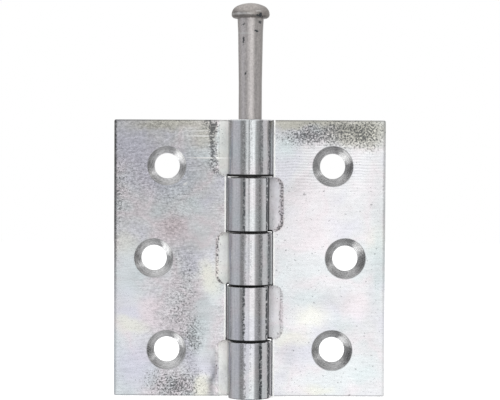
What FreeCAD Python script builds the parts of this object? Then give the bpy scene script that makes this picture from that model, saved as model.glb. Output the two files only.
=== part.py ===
import FreeCAD, Part
import math
import os
from enum import IntEnum

import Sketcher
from FreeCAD import Placement, Rotation, Vector

# Loose-pin butt hinge, 60 mm high: two leaves of rolled sheet steel on one button-head pin.
#
# Millimetres, +Z up along the pin axis, origin on that axis at the foot of the barrel.
# The leaves lie open along X, at 180 degrees, with their countersunk faces towards -Y.
# The frame leaf, on -X, has the first, third and fifth knuckle, and the swing leaf the others.
# The pin stands drawn part of the way out of the barrel.
SIZES = [
    ("leaf_height", 60.0, "both leaves, foot to top"),
    ("leaf_reach", 29.4, "pin axis to the outer edge of a leaf"),
    ("leaf_corner_radius", 0.4, "outer corners of a leaf"),
    ("sheet_thickness", 2.0, "steel sheet that the leaves are pressed from"),
    ("face_setback", 1.2, "countersunk face behind the pin axis"),
    ("middle_knuckle_height", 11.35, "third knuckle, at mid-height"),
    ("swing_knuckle_height", 11.8, "second and fourth knuckle"),
    ("knuckle_end_gap", 0.15, "between two knuckles, along the pin"),
    ("knuckle_side_gap", 0.1, "between a knuckle and the front edge of the other leaf"),
    ("frame_roll_end", 65.0, "degrees from the front at which the frame leaf's roll stops"),
    ("swing_roll_end", 53.0, "degrees from the front at which the swing leaf's roll stops"),
    ("press_reach", 7.3, "pin axis to the far end of the pressed ramp behind a knuckle"),
    ("press_bend_radius", 0.5, "inside radius of the bend where the ramp starts"),
    ("press_corner_radius", 2.2, "far corners of the pressed ramp, seen from the front"),
    ("rim_break", 0.2, "bevel round the rim of each knuckle end, 45 degrees"),
    ("rim_break_behind", 100.0, "degrees by which that bevel runs on behind the barrel's side"),
    ("screw_hole_diameter", 5.5, "through hole of each screw"),
    ("frame_countersink", 8.5, "countersinks across the frame leaf's face"),
    ("swing_countersink", 8.8, "countersinks across the swing leaf's face"),
    ("countersink_angle", 90.0, "degrees, included angle of the countersinks"),
    ("end_screw_reach", 18.0, "pin axis to the top and bottom screws"),
    ("end_screw_spacing", 40.0, "top screw to bottom screw"),
    ("middle_screw_reach", 20.8, "pin axis to the middle screw, at mid-height"),
    ("pin_shank_diameter", 5.0, "parallel part of the pin"),
    ("pin_neck_diameter", 5.65, "pin just under its head, swollen by the cold heading"),
    ("pin_swell_diameter", 5.34, "where the steep part of the swelling ends"),
    ("pin_swell_length", 3.0, "underside of the head to that place"),
    ("pin_neck_length", 14.0, "underside of the head to where the shank is parallel"),
    ("pin_clearance", 0.05, "neck of the pin in the barrel, at each side"),
    ("pin_foot_gap", 1.0, "foot of the barrel to the tip of the seated pin"),
    ("pin_tip_chamfer", 0.8, "lead at the tip, 45 degrees"),
    ("pin_head_diameter", 8.2, "across the lip of the button head"),
    ("pin_head_height", 3.3, "underside to crown"),
    ("pin_crown_radius", 7.0, "shallow dome over the middle of the head"),
    ("pin_head_lip_radius", 0.8, "round under the lip"),
    ("pin_raised", 21.8, "how far the pin is drawn out of its seat"),
]
SHEET = "sizes"
FOLDER = "parts"
RIM_OVERRUN = 5.0  # degrees by which the bevelling cut runs past the cut end of the roll
QUARTER_TURN = math.degrees(math.pi / 2)


class Point(IntEnum):
    """The points of a line, an arc or a circle in a sketch."""

    START = 1
    END = 2
    CENTRE = 3


class Axis(IntEnum):
    """The two axes that every sketch has. The level one starts at the origin."""

    LEVEL = -1
    UPRIGHT = -2


ORIGIN = (Axis.LEVEL, Point.START)


class Size:
    """A number together with the expression on the sheet that gives it."""

    def __init__(self, value, text):
        self.value = float(value)
        self.text = text

    @staticmethod
    def of(other):
        return other if isinstance(other, Size) else Size(other, repr(float(other)))

    def __add__(self, other):
        other = Size.of(other)
        return Size(self.value + other.value, f"({self.text} + {other.text})")

    def __sub__(self, other):
        other = Size.of(other)
        return Size(self.value - other.value, f"({self.text} - {other.text})")

    def __truediv__(self, other):
        other = Size.of(other)
        return Size(self.value / other.value, f"({self.text} / {other.text})")

    def __neg__(self):
        return Size(-self.value, f"(-1 * {self.text})")

    def leg(self, other):
        """Third side of a right-angled triangle, this size its longest side and other a short one."""
        value = math.sqrt(self.value ** 2 - other.value ** 2)
        return Size(value, f"sqrt({self.text} ^ 2 - {other.text} ^ 2)")


class Outline:
    """Draws a closed outline in a sketch and ties each of its sizes to the sheet."""

    def __init__(self, sketch):
        self.sketch = sketch

    def line(self, start, end):
        return self.sketch.addGeometry(Part.LineSegment(Vector(*start, 0), Vector(*end, 0)), False)

    def arc(self, centre, radius, first, last):
        """An arc that runs anticlockwise from the angle first to the angle last, in radians."""
        circle = Part.Circle(Vector(*centre, 0), Vector(0, 0, 1), radius)
        return self.sketch.addGeometry(Part.ArcOfCircle(circle, first, last), False)

    def circle(self, centre, radius):
        return self.sketch.addGeometry(Part.Circle(Vector(*centre, 0), Vector(0, 0, 1), radius))

    def rule(self, kind, *what, size=None):
        """Adds a constraint, and binds its value where it has one."""
        if size is None:
            self.sketch.addConstraint(Sketcher.Constraint(kind, *what))
            return
        value = math.radians(size.value) if kind == "Angle" else size.value
        index = self.sketch.addConstraint(Sketcher.Constraint(kind, *what, value))
        self.sketch.setExpression(f"Constraints[{index}]", size.text)

    def meet(self, one, end_of_one, two, end_of_two):
        self.rule("Coincident", one, end_of_one, two, end_of_two)

    def flow(self, one, end_of_one, two, end_of_two):
        """The two ends meet and run on smoothly."""
        self.rule("Tangent", one, end_of_one, two, end_of_two)

    def across(self, piece, end, size):
        """How far to the right of the origin that end lies."""
        self.rule("DistanceX", *ORIGIN, piece, end, size=size)

    def above(self, piece, end, size):
        """How far above the origin that end lies."""
        self.rule("DistanceY", *ORIGIN, piece, end, size=size)


class Hinge:
    """The document, its sheet of sizes, and how its bodies are made."""

    def __init__(self):
        self.document = FreeCAD.newDocument("hinge")
        sheet = self.document.addObject("Spreadsheet::Sheet", SHEET)
        self.size = {}
        for row, (alias, value, note) in enumerate(SIZES, start=1):
            sheet.set(f"A{row}", alias)
            sheet.set(f"B{row}", str(value))
            sheet.set(f"C{row}", note)
            sheet.setAlias(f"B{row}", alias)
            self.size[alias] = Size(value, f"{SHEET}.{alias}")
        self.document.recompute()

    def sizes(self, *aliases):
        return [self.size[alias] for alias in aliases]

    def bore_radius(self):
        neck, clearance = self.sizes("pin_neck_diameter", "pin_clearance")
        return neck / 2 + clearance

    def barrel_radius(self):
        return self.bore_radius() + self.size["sheet_thickness"]

    def body(self, label):
        body = self.document.addObject("PartDesign::Body", label)
        body.Label = label
        return body

    def sketch(self, body, name, plane, offset=None):
        """A sketch on one of the body's own planes, or at offset from it along its normal."""
        sketch = body.newObject("Sketcher::SketchObject", name)
        datum = next(feature for feature in body.Origin.OriginFeatures if feature.Role == plane)
        sketch.AttachmentSupport = [(datum, "")]
        sketch.MapMode = "FlatFace"
        if offset is not None:
            sketch.AttachmentOffset = Placement(Vector(0, 0, offset.value), Rotation())
            sketch.setExpression(".AttachmentOffset.Base.z", offset.text)
        return sketch

    def solid(self, body, kind, name, sketch, length=None, backwards=False):
        """A Pad as long as length, or without one a Pocket right through both ways."""
        feature = body.newObject(f"PartDesign::{kind}", name)
        feature.Profile = sketch
        feature.Reversed = backwards
        if length is None:
            feature.Midplane = True
            feature.Type = "ThroughAll"
        else:
            feature.Length = length.value
            feature.setExpression("Length", length.text)
        self.document.recompute()
        return feature

    def frame_knuckles(self):
        """Foot and top of each knuckle of the frame leaf, None where that is the leaf's own end."""
        height, middle, swing, gap = self.sizes(
            "leaf_height", "middle_knuckle_height", "swing_knuckle_height", "knuckle_end_gap"
        )
        middle_foot = (height - middle) / 2
        middle_top = (height + middle) / 2
        return [
            (None, middle_foot - gap - swing - gap),
            (middle_foot, middle_top),
            (middle_top + gap + swing + gap, None),
        ]

    def swing_knuckles(self):
        """Foot and top of each knuckle of the swing leaf, which lie between the other three."""
        height, middle, swing, gap = self.sizes(
            "leaf_height", "middle_knuckle_height", "swing_knuckle_height", "knuckle_end_gap"
        )
        middle_foot = (height - middle) / 2
        middle_top = (height + middle) / 2
        return [
            (middle_foot - gap - swing, middle_foot - gap),
            (middle_top + gap, middle_top + gap + swing),
        ]


def draw_panel(sketch, left, right, low, high, radius_of):
    """A rectangle, with a round at each corner that radius_of names.

    The corners are right_low, right_high, left_high and left_low.
    """
    outline = Outline(sketch)
    corners = [
        ("right_low", right, low),
        ("right_high", right, high),
        ("left_high", left, high),
        ("left_low", left, low),
    ]
    headings = [(1, 0), (0, 1), (-1, 0), (0, -1)]
    radii = [radius_of.get(name) for name, _, _ in corners]
    trims = [0.0 if radius is None else radius.value for radius in radii]
    sides = []
    for i, ((_, to_x, to_y), (step_x, step_y)) in enumerate(zip(corners, headings)):
        _, from_x, from_y = corners[i - 1]
        start = (from_x.value + step_x * trims[i - 1], from_y.value + step_y * trims[i - 1])
        end = (to_x.value - step_x * trims[i], to_y.value - step_y * trims[i])
        side = outline.line(start, end)
        if step_y == 0:
            outline.rule("Horizontal", side)
            outline.above(side, Point.START, to_y)
        else:
            outline.rule("Vertical", side)
            outline.across(side, Point.START, to_x)
        sides.append(side)
    for i, radius in enumerate(radii):
        following = (i + 1) % len(corners)
        if radius is None:
            outline.meet(sides[i], Point.END, sides[following], Point.START)
            continue
        _, corner_x, corner_y = corners[i]
        in_x, in_y = headings[i]
        out_x, out_y = headings[following]
        centre_x = corner_x.value + radius.value * (out_x - in_x)
        centre_y = corner_y.value + radius.value * (out_y - in_y)
        first = (i - 1) * math.pi / 2
        corner = outline.arc((centre_x, centre_y), radius.value, first, first + math.pi / 2)
        outline.rule("Radius", corner, size=radius)
        outline.flow(sides[i], Point.END, corner, Point.START)
        outline.flow(corner, Point.END, sides[following], Point.START)


def on_circle(centre, radius, angle):
    return (centre[0] + radius * math.cos(angle), centre[1] + radius * math.sin(angle))


def draw_knuckle(hinge, sketch, roll_end):
    """Section of a knuckle, with the leaf to the right and its back above.

    The sheet leaves the plate through a bend, ramps back to the far side of the pin and rolls
    round it over the front, where it stops short of the ramp. The ramp touches the roll and the
    bend from opposite sides, so its slope follows from where those two circles lie.
    """
    thickness, setback, reach, bend = hinge.sizes(
        "sheet_thickness", "face_setback", "press_reach", "press_bend_radius"
    )
    bore = hinge.bore_radius()
    barrel = hinge.barrel_radius()
    bend_height = setback + thickness + bend
    pin_axis = (0.0, 0.0)
    bend_axis = (reach.value, bend_height.value)
    slope = math.asin((barrel + bend).value / math.hypot(*bend_axis)) - math.atan2(*bend_axis[::-1])
    leaves_roll = math.pi / 2 - slope
    leaves_bend = leaves_roll + math.pi
    roll_stop = math.radians(roll_end.value) + 1.5 * math.pi
    plate = 1.5 * math.pi

    outline = Outline(sketch)
    outside = outline.arc(pin_axis, barrel.value, leaves_roll, roll_stop)
    inside = outline.arc(pin_axis, bore.value, leaves_roll, roll_stop)
    back_bend = outline.arc(bend_axis, bend.value, leaves_bend, plate)
    front_bend = outline.arc(bend_axis, (bend + thickness).value, leaves_bend, plate)
    back_ramp = outline.line(
        on_circle(pin_axis, barrel.value, leaves_roll),
        on_circle(bend_axis, bend.value, leaves_bend),
    )
    front_ramp = outline.line(
        on_circle(pin_axis, bore.value, leaves_roll),
        on_circle(bend_axis, (bend + thickness).value, leaves_bend),
    )
    plate_end = outline.line(
        on_circle(bend_axis, bend.value, plate),
        on_circle(bend_axis, (bend + thickness).value, plate),
    )
    cut_end = outline.line(
        on_circle(pin_axis, bore.value, roll_stop), on_circle(pin_axis, barrel.value, roll_stop)
    )
    for arc in (outside, inside):
        outline.rule("Coincident", arc, Point.CENTRE, *ORIGIN)
    outline.rule("Coincident", back_bend, Point.CENTRE, front_bend, Point.CENTRE)
    outline.across(front_bend, Point.CENTRE, reach)
    outline.above(front_bend, Point.CENTRE, bend_height)
    outline.rule("Radius", inside, size=bore)
    outline.rule("Radius", outside, size=barrel)
    outline.rule("Radius", back_bend, size=bend)
    outline.rule("Radius", front_bend, size=bend + thickness)
    outline.flow(outside, Point.START, back_ramp, Point.START)
    outline.flow(back_ramp, Point.END, back_bend, Point.START)
    outline.flow(inside, Point.START, front_ramp, Point.START)
    outline.flow(front_ramp, Point.END, front_bend, Point.START)
    outline.meet(back_bend, Point.END, plate_end, Point.START)
    outline.meet(front_bend, Point.END, plate_end, Point.END)
    outline.across(plate_end, Point.START, reach)
    outline.across(plate_end, Point.END, reach)
    outline.meet(inside, Point.END, cut_end, Point.START)
    outline.meet(outside, Point.END, cut_end, Point.END)
    outline.rule("PointOnObject", *ORIGIN, cut_end)
    outline.rule("Angle", cut_end, size=roll_end - QUARTER_TURN)


def draw_rims(hinge, sketch, ends):
    """A triangle outside the rim of each knuckle end, on the side away from the leaf.

    Its long side crosses the rim at 45 degrees. Each end is a level and whether it is a top.
    """
    outline = Outline(sketch)
    cut = hinge.size["rim_break"]
    barrel = hinge.barrel_radius()
    inner = -(barrel - cut)
    outer = -(barrel + cut)
    for level, is_top in ends:
        depth = level - cut - cut if is_top else level + cut + cut
        corners = [(inner, level), (outer, level), (outer, depth)]
        points = [(across.value, above.value) for across, above in corners]
        sides = [outline.line(points[i], points[(i + 1) % 3]) for i in range(3)]
        for i, (across, above) in enumerate(corners):
            outline.meet(sides[i - 1], Point.END, sides[i], Point.START)
            outline.across(sides[i], Point.START, across)
            outline.above(sides[i], Point.START, above)


def break_rims(hinge, body, knuckles, roll_end):
    """Bevels the outer rim of the rolled sheet, from behind the pin round to its cut end."""
    height, behind = hinge.sizes("leaf_height", "rim_break_behind")
    ends = []
    for low, high in knuckles:
        ends.append((Size.of(0) if low is None else low, False))
        ends.append((height if high is None else high, True))
    sketch = hinge.sketch(body, f"{body.Label}_rims", "XZ_Plane")
    draw_rims(hinge, sketch, ends)
    groove = body.newObject("PartDesign::Groove", f"{body.Label}_broken_rims")
    groove.Profile = sketch
    groove.ReferenceAxis = (sketch, ["V_Axis"])
    groove.Type = "TwoAngles"
    over_front = roll_end + QUARTER_TURN + RIM_OVERRUN
    for name, size in (("Angle", over_front), ("Angle2", behind)):
        setattr(groove, name, size.value)
        groove.setExpression(name, size.text)
    hinge.document.recompute()


def make_leaf(hinge, label, knuckles, roll_end, countersink):
    """A leaf that reaches out along +X from the pin axis, with its countersunk face to -Y."""
    height, reach, corner, thickness, setback = hinge.sizes(
        "leaf_height", "leaf_reach", "leaf_corner_radius", "sheet_thickness", "face_setback"
    )
    side_gap, press_reach, press_corner = hinge.sizes(
        "knuckle_side_gap", "press_reach", "press_corner_radius"
    )
    body = hinge.body(label)
    foot = Size.of(0)
    plate_edge = (hinge.barrel_radius() + side_gap).leg(setback)

    # The flat plate. It lies behind the pin axis and stops short of the barrel's curve.
    sketch = hinge.sketch(body, f"{label}_plate_outline", "XZ_Plane", -setback)
    rounds = {"right_low": corner, "right_high": corner}
    draw_panel(sketch, plate_edge, reach, foot, height, rounds)
    hinge.solid(body, "Pad", f"{label}_plate", sketch, thickness, backwards=True)

    for number, (low, high) in enumerate(knuckles, start=1):
        # The window in the plate that the pressed ramp fills, open towards the pin.
        name = f"{label}_press_{number}"
        rounds = {}
        if low is not None:
            rounds["right_low"] = press_corner
        if high is not None:
            rounds["right_high"] = press_corner
        window_low = foot - press_corner if low is None else low
        window_high = height + press_corner if high is None else high
        sketch = hinge.sketch(body, f"{name}_outline", "XZ_Plane")
        draw_panel(
            sketch, plate_edge - press_corner, press_reach, window_low, window_high, rounds
        )
        hinge.solid(body, "Pocket", name, sketch)

        # The knuckle and its ramp.
        name = f"{label}_knuckle_{number}"
        low = foot if low is None else low
        high = height if high is None else high
        sketch = hinge.sketch(body, f"{name}_section", "XY_Plane", low)
        draw_knuckle(hinge, sketch, roll_end)
        hinge.solid(body, "Pad", name, sketch, high - low)

    break_rims(hinge, body, knuckles, roll_end)
    drill_screw_holes(hinge, body, countersink)
    return body


def drill_screw_holes(hinge, body, countersink):
    """Three countersunk holes, the middle one further out."""
    height, setback, end_reach, spacing, middle_reach, diameter, angle = hinge.sizes(
        "leaf_height",
        "face_setback",
        "end_screw_reach",
        "end_screw_spacing",
        "middle_screw_reach",
        "screw_hole_diameter",
        "countersink_angle",
    )
    sketch = hinge.sketch(body, f"{body.Label}_screw_centres", "XZ_Plane", -setback)
    outline = Outline(sketch)
    centres = [
        (end_reach, (height - spacing) / 2),
        (middle_reach, height / 2),
        (end_reach, (height + spacing) / 2),
    ]
    for across, above in centres:
        circle = outline.circle((across.value, above.value), diameter.value / 2)
        outline.across(circle, Point.CENTRE, across)
        outline.above(circle, Point.CENTRE, above)
        outline.rule("Diameter", circle, size=diameter)
    hinge.document.recompute()
    hole = body.newObject("PartDesign::Hole", f"{body.Label}_screw_holes")
    hole.Profile = sketch
    hinge.document.recompute()
    hole.DepthType = "ThroughAll"
    hole.HoleCutType = "Countersink"
    hole.HoleCutCustomValues = True
    for name, size in (
        ("Diameter", diameter),
        ("HoleCutDiameter", countersink),
        ("HoleCutCountersinkAngle", angle),
    ):
        setattr(hole, name, size.value)
        hole.setExpression(name, size.text)
    hinge.document.recompute()


def make_pin(hinge, label):
    """The pin in its seat: the head bears on the top of the barrel, and the tip is inside."""
    height, foot_gap, shank, tip = hinge.sizes(
        "leaf_height", "pin_foot_gap", "pin_shank_diameter", "pin_tip_chamfer"
    )
    neck, neck_length, swell, swell_length = hinge.sizes(
        "pin_neck_diameter", "pin_neck_length", "pin_swell_diameter", "pin_swell_length"
    )
    head, head_height, crown_radius, lip = hinge.sizes(
        "pin_head_diameter", "pin_head_height", "pin_crown_radius", "pin_head_lip_radius"
    )
    body = hinge.body(label)
    sketch = hinge.sketch(body, f"{label}_half_section", "XZ_Plane")
    outline = Outline(sketch)

    # Tip, lead, parallel shank and the two steps of the swelling, from the tip up.
    stations = [
        (Size.of(0), foot_gap),
        (shank / 2 - tip, foot_gap),
        (shank / 2, foot_gap + tip),
        (shank / 2, height - neck_length),
        (swell / 2, height - swell_length),
        (neck / 2, height),
        (head / 2 - lip, height),
    ]
    points = [(across.value, above.value) for across, above in stations]
    sides = [outline.line(*ends) for ends in zip(points, points[1:])]
    for before, after in zip(sides, sides[1:]):
        outline.meet(before, Point.END, after, Point.START)
    for side, (across, above) in zip(sides[1:], stations[1:]):
        outline.across(side, Point.START, across)
        outline.above(side, Point.START, above)
    outline.above(sides[0], Point.START, foot_gap)
    outline.rule("PointOnObject", sides[0], Point.START, Axis.UPRIGHT)
    underside = sides[-1]
    outline.rule("Horizontal", underside)

    # Button head: a rounded lip, a shoulder that leaves it straight up, then the shallow crown.
    top = height + head_height
    lip_centre = ((head / 2 - lip).value, (height + lip).value)
    lip_side = ((head / 2).value, (height + lip).value)
    lip_round = outline.arc(lip_centre, lip.value, 1.5 * math.pi, 2 * math.pi)
    shoulder, crown = (
        outline.arc(*arc) for arc in dome_arcs(lip_side, top.value, crown_radius.value)
    )
    middle = outline.line((0.0, top.value), points[0])
    outline.flow(underside, Point.END, lip_round, Point.START)
    outline.flow(lip_round, Point.END, shoulder, Point.START)
    outline.flow(shoulder, Point.END, crown, Point.START)
    outline.meet(crown, Point.END, middle, Point.START)
    outline.meet(middle, Point.END, sides[0], Point.START)
    outline.rule("Radius", lip_round, size=lip)
    outline.rule("Horizontal", lip_round, Point.CENTRE, lip_round, Point.END)
    outline.across(lip_round, Point.END, head / 2)
    outline.rule("Radius", crown, size=crown_radius)
    outline.rule("PointOnObject", crown, Point.CENTRE, Axis.UPRIGHT)
    outline.rule("PointOnObject", crown, Point.END, Axis.UPRIGHT)
    outline.above(crown, Point.END, top)

    turned = body.newObject("PartDesign::Revolution", f"{label}_turned")
    turned.Profile = sketch
    turned.ReferenceAxis = (sketch, ["V_Axis"])
    hinge.document.recompute()
    return body


def dome_arcs(side, top, crown_radius):
    """The shoulder and the crown of a dome, from a point on its side to its top on the axis.

    The shoulder leaves the side straight up, so its centre is level with that point. The crown's
    centre is on the axis. The two run into each other, so their centres are as far apart as their
    radii differ. Each is given as centre, radius, first angle and last angle, anticlockwise.
    """
    reach, level = side
    drop = level - (top - crown_radius)
    radius = (crown_radius ** 2 - reach ** 2 - drop ** 2) / (2 * (crown_radius - reach))
    lean = math.atan2(drop, reach - radius)
    shoulder = (reach - radius, level), radius, 0.0, lean
    crown = (0.0, top - crown_radius), crown_radius, lean, math.pi / 2
    return shoulder, crown


def place(hinge, body, turn, lift):
    """Turns a body about Y and lifts it along the pin axis."""
    body.Placement = Placement(Vector(0, 0, lift.value), Rotation(Vector(0, 1, 0), turn))
    body.setExpression(".Placement.Base.z", lift.text)


def check(document):
    """Stops before anything is written if a feature failed or a body is not one good solid."""
    failed = [
        item.Label for item in document.Objects if {"Invalid", "Error"} & set(item.State)
    ]
    if failed:
        raise RuntimeError(f"these features failed: {failed}")
    for sketch in document.findObjects("Sketcher::SketchObject"):
        if not sketch.FullyConstrained:
            raise RuntimeError(f"{sketch.Label} is not fully held by its sizes")


def write(body):
    shape = body.Shape
    if shape.isNull() or not shape.isValid() or len(shape.Solids) != 1:
        raise RuntimeError(f"{body.Label} is not one valid solid")
    shape.exportStep(os.path.join(FOLDER, f"{body.Label}.step"))
    print(f"{body.Label}: {shape.Volume:.2f} mm3, {shape.Area:.2f} mm2")


def main():
    hinge = Hinge()
    height, raised = hinge.sizes("leaf_height", "pin_raised")
    frame_roll, swing_roll = hinge.sizes("frame_roll_end", "swing_roll_end")
    frame_sink, swing_sink = hinge.sizes("frame_countersink", "swing_countersink")
    frame_leaf = make_leaf(
        hinge, "frame_leaf", hinge.frame_knuckles(), frame_roll, frame_sink
    )
    swing_leaf = make_leaf(
        hinge, "swing_leaf", hinge.swing_knuckles(), swing_roll, swing_sink
    )
    pin = make_pin(hinge, "hinge_pin")
    # The frame leaf is turned end for end, so that it reaches out along -X.
    place(hinge, frame_leaf, 180, height)
    place(hinge, pin, 0, raised)
    hinge.document.recompute()
    check(hinge.document)
    os.makedirs(FOLDER, exist_ok=True)
    for body in (frame_leaf, swing_leaf, pin):
        write(body)


main()
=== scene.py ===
import math

import bmesh
import bpy
import numpy as np
from bpy.props import FloatProperty, FloatVectorProperty, IntProperty, PointerProperty
from bpy.types import Operator, Panel, PropertyGroup
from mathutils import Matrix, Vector


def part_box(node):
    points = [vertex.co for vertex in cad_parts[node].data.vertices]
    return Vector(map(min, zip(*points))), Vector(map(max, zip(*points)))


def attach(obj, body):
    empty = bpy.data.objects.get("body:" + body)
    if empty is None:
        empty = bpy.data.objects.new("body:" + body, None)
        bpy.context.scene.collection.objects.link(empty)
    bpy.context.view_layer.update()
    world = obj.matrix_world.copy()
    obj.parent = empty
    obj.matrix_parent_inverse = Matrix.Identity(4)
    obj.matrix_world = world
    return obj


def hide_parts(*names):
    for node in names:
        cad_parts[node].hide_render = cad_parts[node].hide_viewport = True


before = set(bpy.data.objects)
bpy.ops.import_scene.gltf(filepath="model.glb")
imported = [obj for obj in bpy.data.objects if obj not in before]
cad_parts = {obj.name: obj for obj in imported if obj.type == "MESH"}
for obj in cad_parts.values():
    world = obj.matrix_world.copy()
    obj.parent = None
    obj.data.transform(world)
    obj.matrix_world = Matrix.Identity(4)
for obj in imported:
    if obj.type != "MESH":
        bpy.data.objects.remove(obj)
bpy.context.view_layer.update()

bl_info = {
    "name": "Loose Pin Butt Hinge",
    "version": (1, 0, 0),
    "blender": (4, 5, 0),
    "location": "3D View > Sidebar > Hinge",
    "description": "Zinc-plated steel butt hinge with its pin drawn part of the way out",
    "category": "Object",
}

# The hinge stands on its lower edge with its pin along Z. Lengths in the mesh are metres, and the
# lists of marks on the steel are millimetres, x across the open leaves and z up.
MM = 0.001
FRONT_LINE = 1.2                # countersunk faces of the plates, behind the pin axis
BARREL_RADIUS = 4.875
BORE_RADIUS = 2.875
LEAF_REACH = 29.4
LEAF_HEIGHT = 60.0
END_SCREW = (18.0, 20.0)        # across from the pin axis, and above or below mid-height
MIDDLE_SCREW = 20.8
SEAM_SHADE_MIDDLES = (12.5, 24.35, 35.9, 48.0)   # middle of the painted shade over each gap between knuckles
PRESS_REACH, PRESS_CORNER = 7.3, 2.2    # far side of the pockets, and their corners' radius
ANY_DEPTH = 1000.0              # half-axis of a mark through the sheet
MERGE_DIGITS = 7                # decimals of a metre in which corners have to agree
FLAT_ANGLE = math.radians(0.5)


class HingeSizes(PropertyGroup):
    """Sizes that finish the pressed and turned shapes."""

    edge_softness: FloatProperty(
        name="Edge softness", description="Width of the rounding along the leaves' sheared edges",
        default=0.12 * MM, min=0.0, unit="LENGTH",
    )
    edge_steps: IntProperty(
        name="Edge steps", description="Faces across that rounding", default=2, min=1, max=6
    )
    smooth_angle: FloatProperty(
        name="Smooth angle", description="Faces that meet at less are shaded as one surface",
        default=math.radians(25), subtype="ANGLE",
    )
    pin_sides: IntProperty(
        name="Pin sides", description="Faces round the pin", default=128, min=24, max=512
    )


class HingeFinish(PropertyGroup):
    """Colours of the steel, its passivated zinc and what has settled on it, some of which also
    paint shade.
    """

    zinc: FloatVectorProperty(
        name="Zinc", description="Clean plating",
        subtype="COLOR", size=3, default=(0.77, 0.775, 0.79),
    )
    lavender: FloatVectorProperty(
        name="Lavender", description="Thin passivation film",
        subtype="COLOR", size=3, default=(0.70, 0.70, 0.80),
    )
    rose: FloatVectorProperty(
        name="Rose", description="Passivation film, pinkish",
        subtype="COLOR", size=3, default=(0.83, 0.75, 0.78),
    )
    cream: FloatVectorProperty(
        name="Cream", description="Thick passivation film, yellowish",
        subtype="COLOR", size=3, default=(0.84, 0.84, 0.735),
    )
    olive: FloatVectorProperty(
        name="Olive", description="Grimy film",
        subtype="COLOR", size=3, default=(0.665, 0.655, 0.58),
    )
    # Umber also paints the shade along the far folds of the pockets.
    umber: FloatVectorProperty(
        name="Umber", description="Brownish dirt in the folds",
        subtype="COLOR", size=3, default=(0.50, 0.42, 0.42),
    )
    ice: FloatVectorProperty(
        name="Ice", description="Passivation film, bluish green",
        subtype="COLOR", size=3, default=(0.72, 0.80, 0.81),
    )
    # Soot also paints the shade in the seams, bore, slots, flanks and creases.
    soot: FloatVectorProperty(
        name="Soot", description="Dark speckle in the plating",
        subtype="COLOR", size=3, default=(0.045, 0.05, 0.055),
    )
    pin_steel: FloatVectorProperty(
        name="Pin steel", description="Dull headed steel",
        subtype="COLOR", size=3, default=(0.70, 0.665, 0.65),
    )
    leaf_roughness: FloatProperty(
        name="Leaf roughness", description="Roughness of the flat faces",
        subtype="FACTOR", default=0.19, min=0.0, max=1.0,
    )
    barrel_roughness: FloatProperty(
        name="Barrel roughness", description="Roughness of the rolled knuckles",
        subtype="FACTOR", default=0.14, min=0.0, max=1.0,
    )
    pin_roughness: FloatProperty(
        name="Pin roughness", description="Roughness of the pin",
        subtype="FACTOR", default=0.42, min=0.0, max=1.0,
    )


class HingeStudio(PropertyGroup):
    """Where the camera stands and how bright the surround is."""

    camera_distance: FloatProperty(
        name="Camera distance", description="From the pin axis", default=0.345, unit="LENGTH"
    )
    camera_height: FloatProperty(
        name="Camera height", description="Above the floor", default=0.053, unit="LENGTH"
    )
    aim_height: FloatProperty(
        name="Aim height", description="Height at the pin axis that the picture is centred on",
        default=0.0427, unit="LENGTH",
    )
    roll: FloatProperty(
        name="Roll", description="Lean of the picture", default=math.radians(0.27), subtype="ANGLE"
    )
    lens: FloatProperty(
        name="Lens", description="Focal length on a 36 mm sensor, in millimetres",
        subtype="DISTANCE_CAMERA", default=115.0,
    )
    floor_radius: FloatProperty(
        name="Floor radius", description="Radius of the pale floor", default=0.6, unit="LENGTH"
    )
    floor_colour: FloatVectorProperty(
        name="Floor colour", description="Pale floor",
        subtype="COLOR", size=3, default=(0.82, 0.82, 0.82),
    )
    fill: FloatProperty(
        name="Fill", description="Brightness of the surround for diffuse light",
        subtype="FACTOR", default=0.92, min=0.0, max=1.0,
    )


class Value:
    """An output of a node, on which Python's operators add Math nodes."""

    def __init__(self, net, socket):
        self.net = net
        self.socket = socket

    def output(self, name):
        """Another output of the same node."""
        return Value(self.net, self.socket.node.outputs[name])

    def math(self, operation, first, *rest):
        return self.net.node("Math", {"operation": operation}, dict(enumerate((first, *rest))))

    def __add__(self, other):
        return self.math("ADD", self, other)

    def __radd__(self, other):
        return self.math("ADD", other, self)

    def __sub__(self, other):
        return self.math("SUBTRACT", self, other)

    def __rsub__(self, other):
        return self.math("SUBTRACT", other, self)

    def __mul__(self, other):
        return self.math("MULTIPLY", self, other)

    def __rmul__(self, other):
        return self.math("MULTIPLY", other, self)

    def __truediv__(self, other):
        return self.math("DIVIDE", self, other)

    def __rtruediv__(self, other):
        return self.math("DIVIDE", other, self)

    def __pow__(self, other):
        return self.math("POWER", self, other)

    def __abs__(self):
        return self.math("ABSOLUTE", self)

    def __lt__(self, other):
        return self.math("LESS_THAN", self, other)

    def __gt__(self, other):
        return self.math("GREATER_THAN", self, other)


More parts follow.
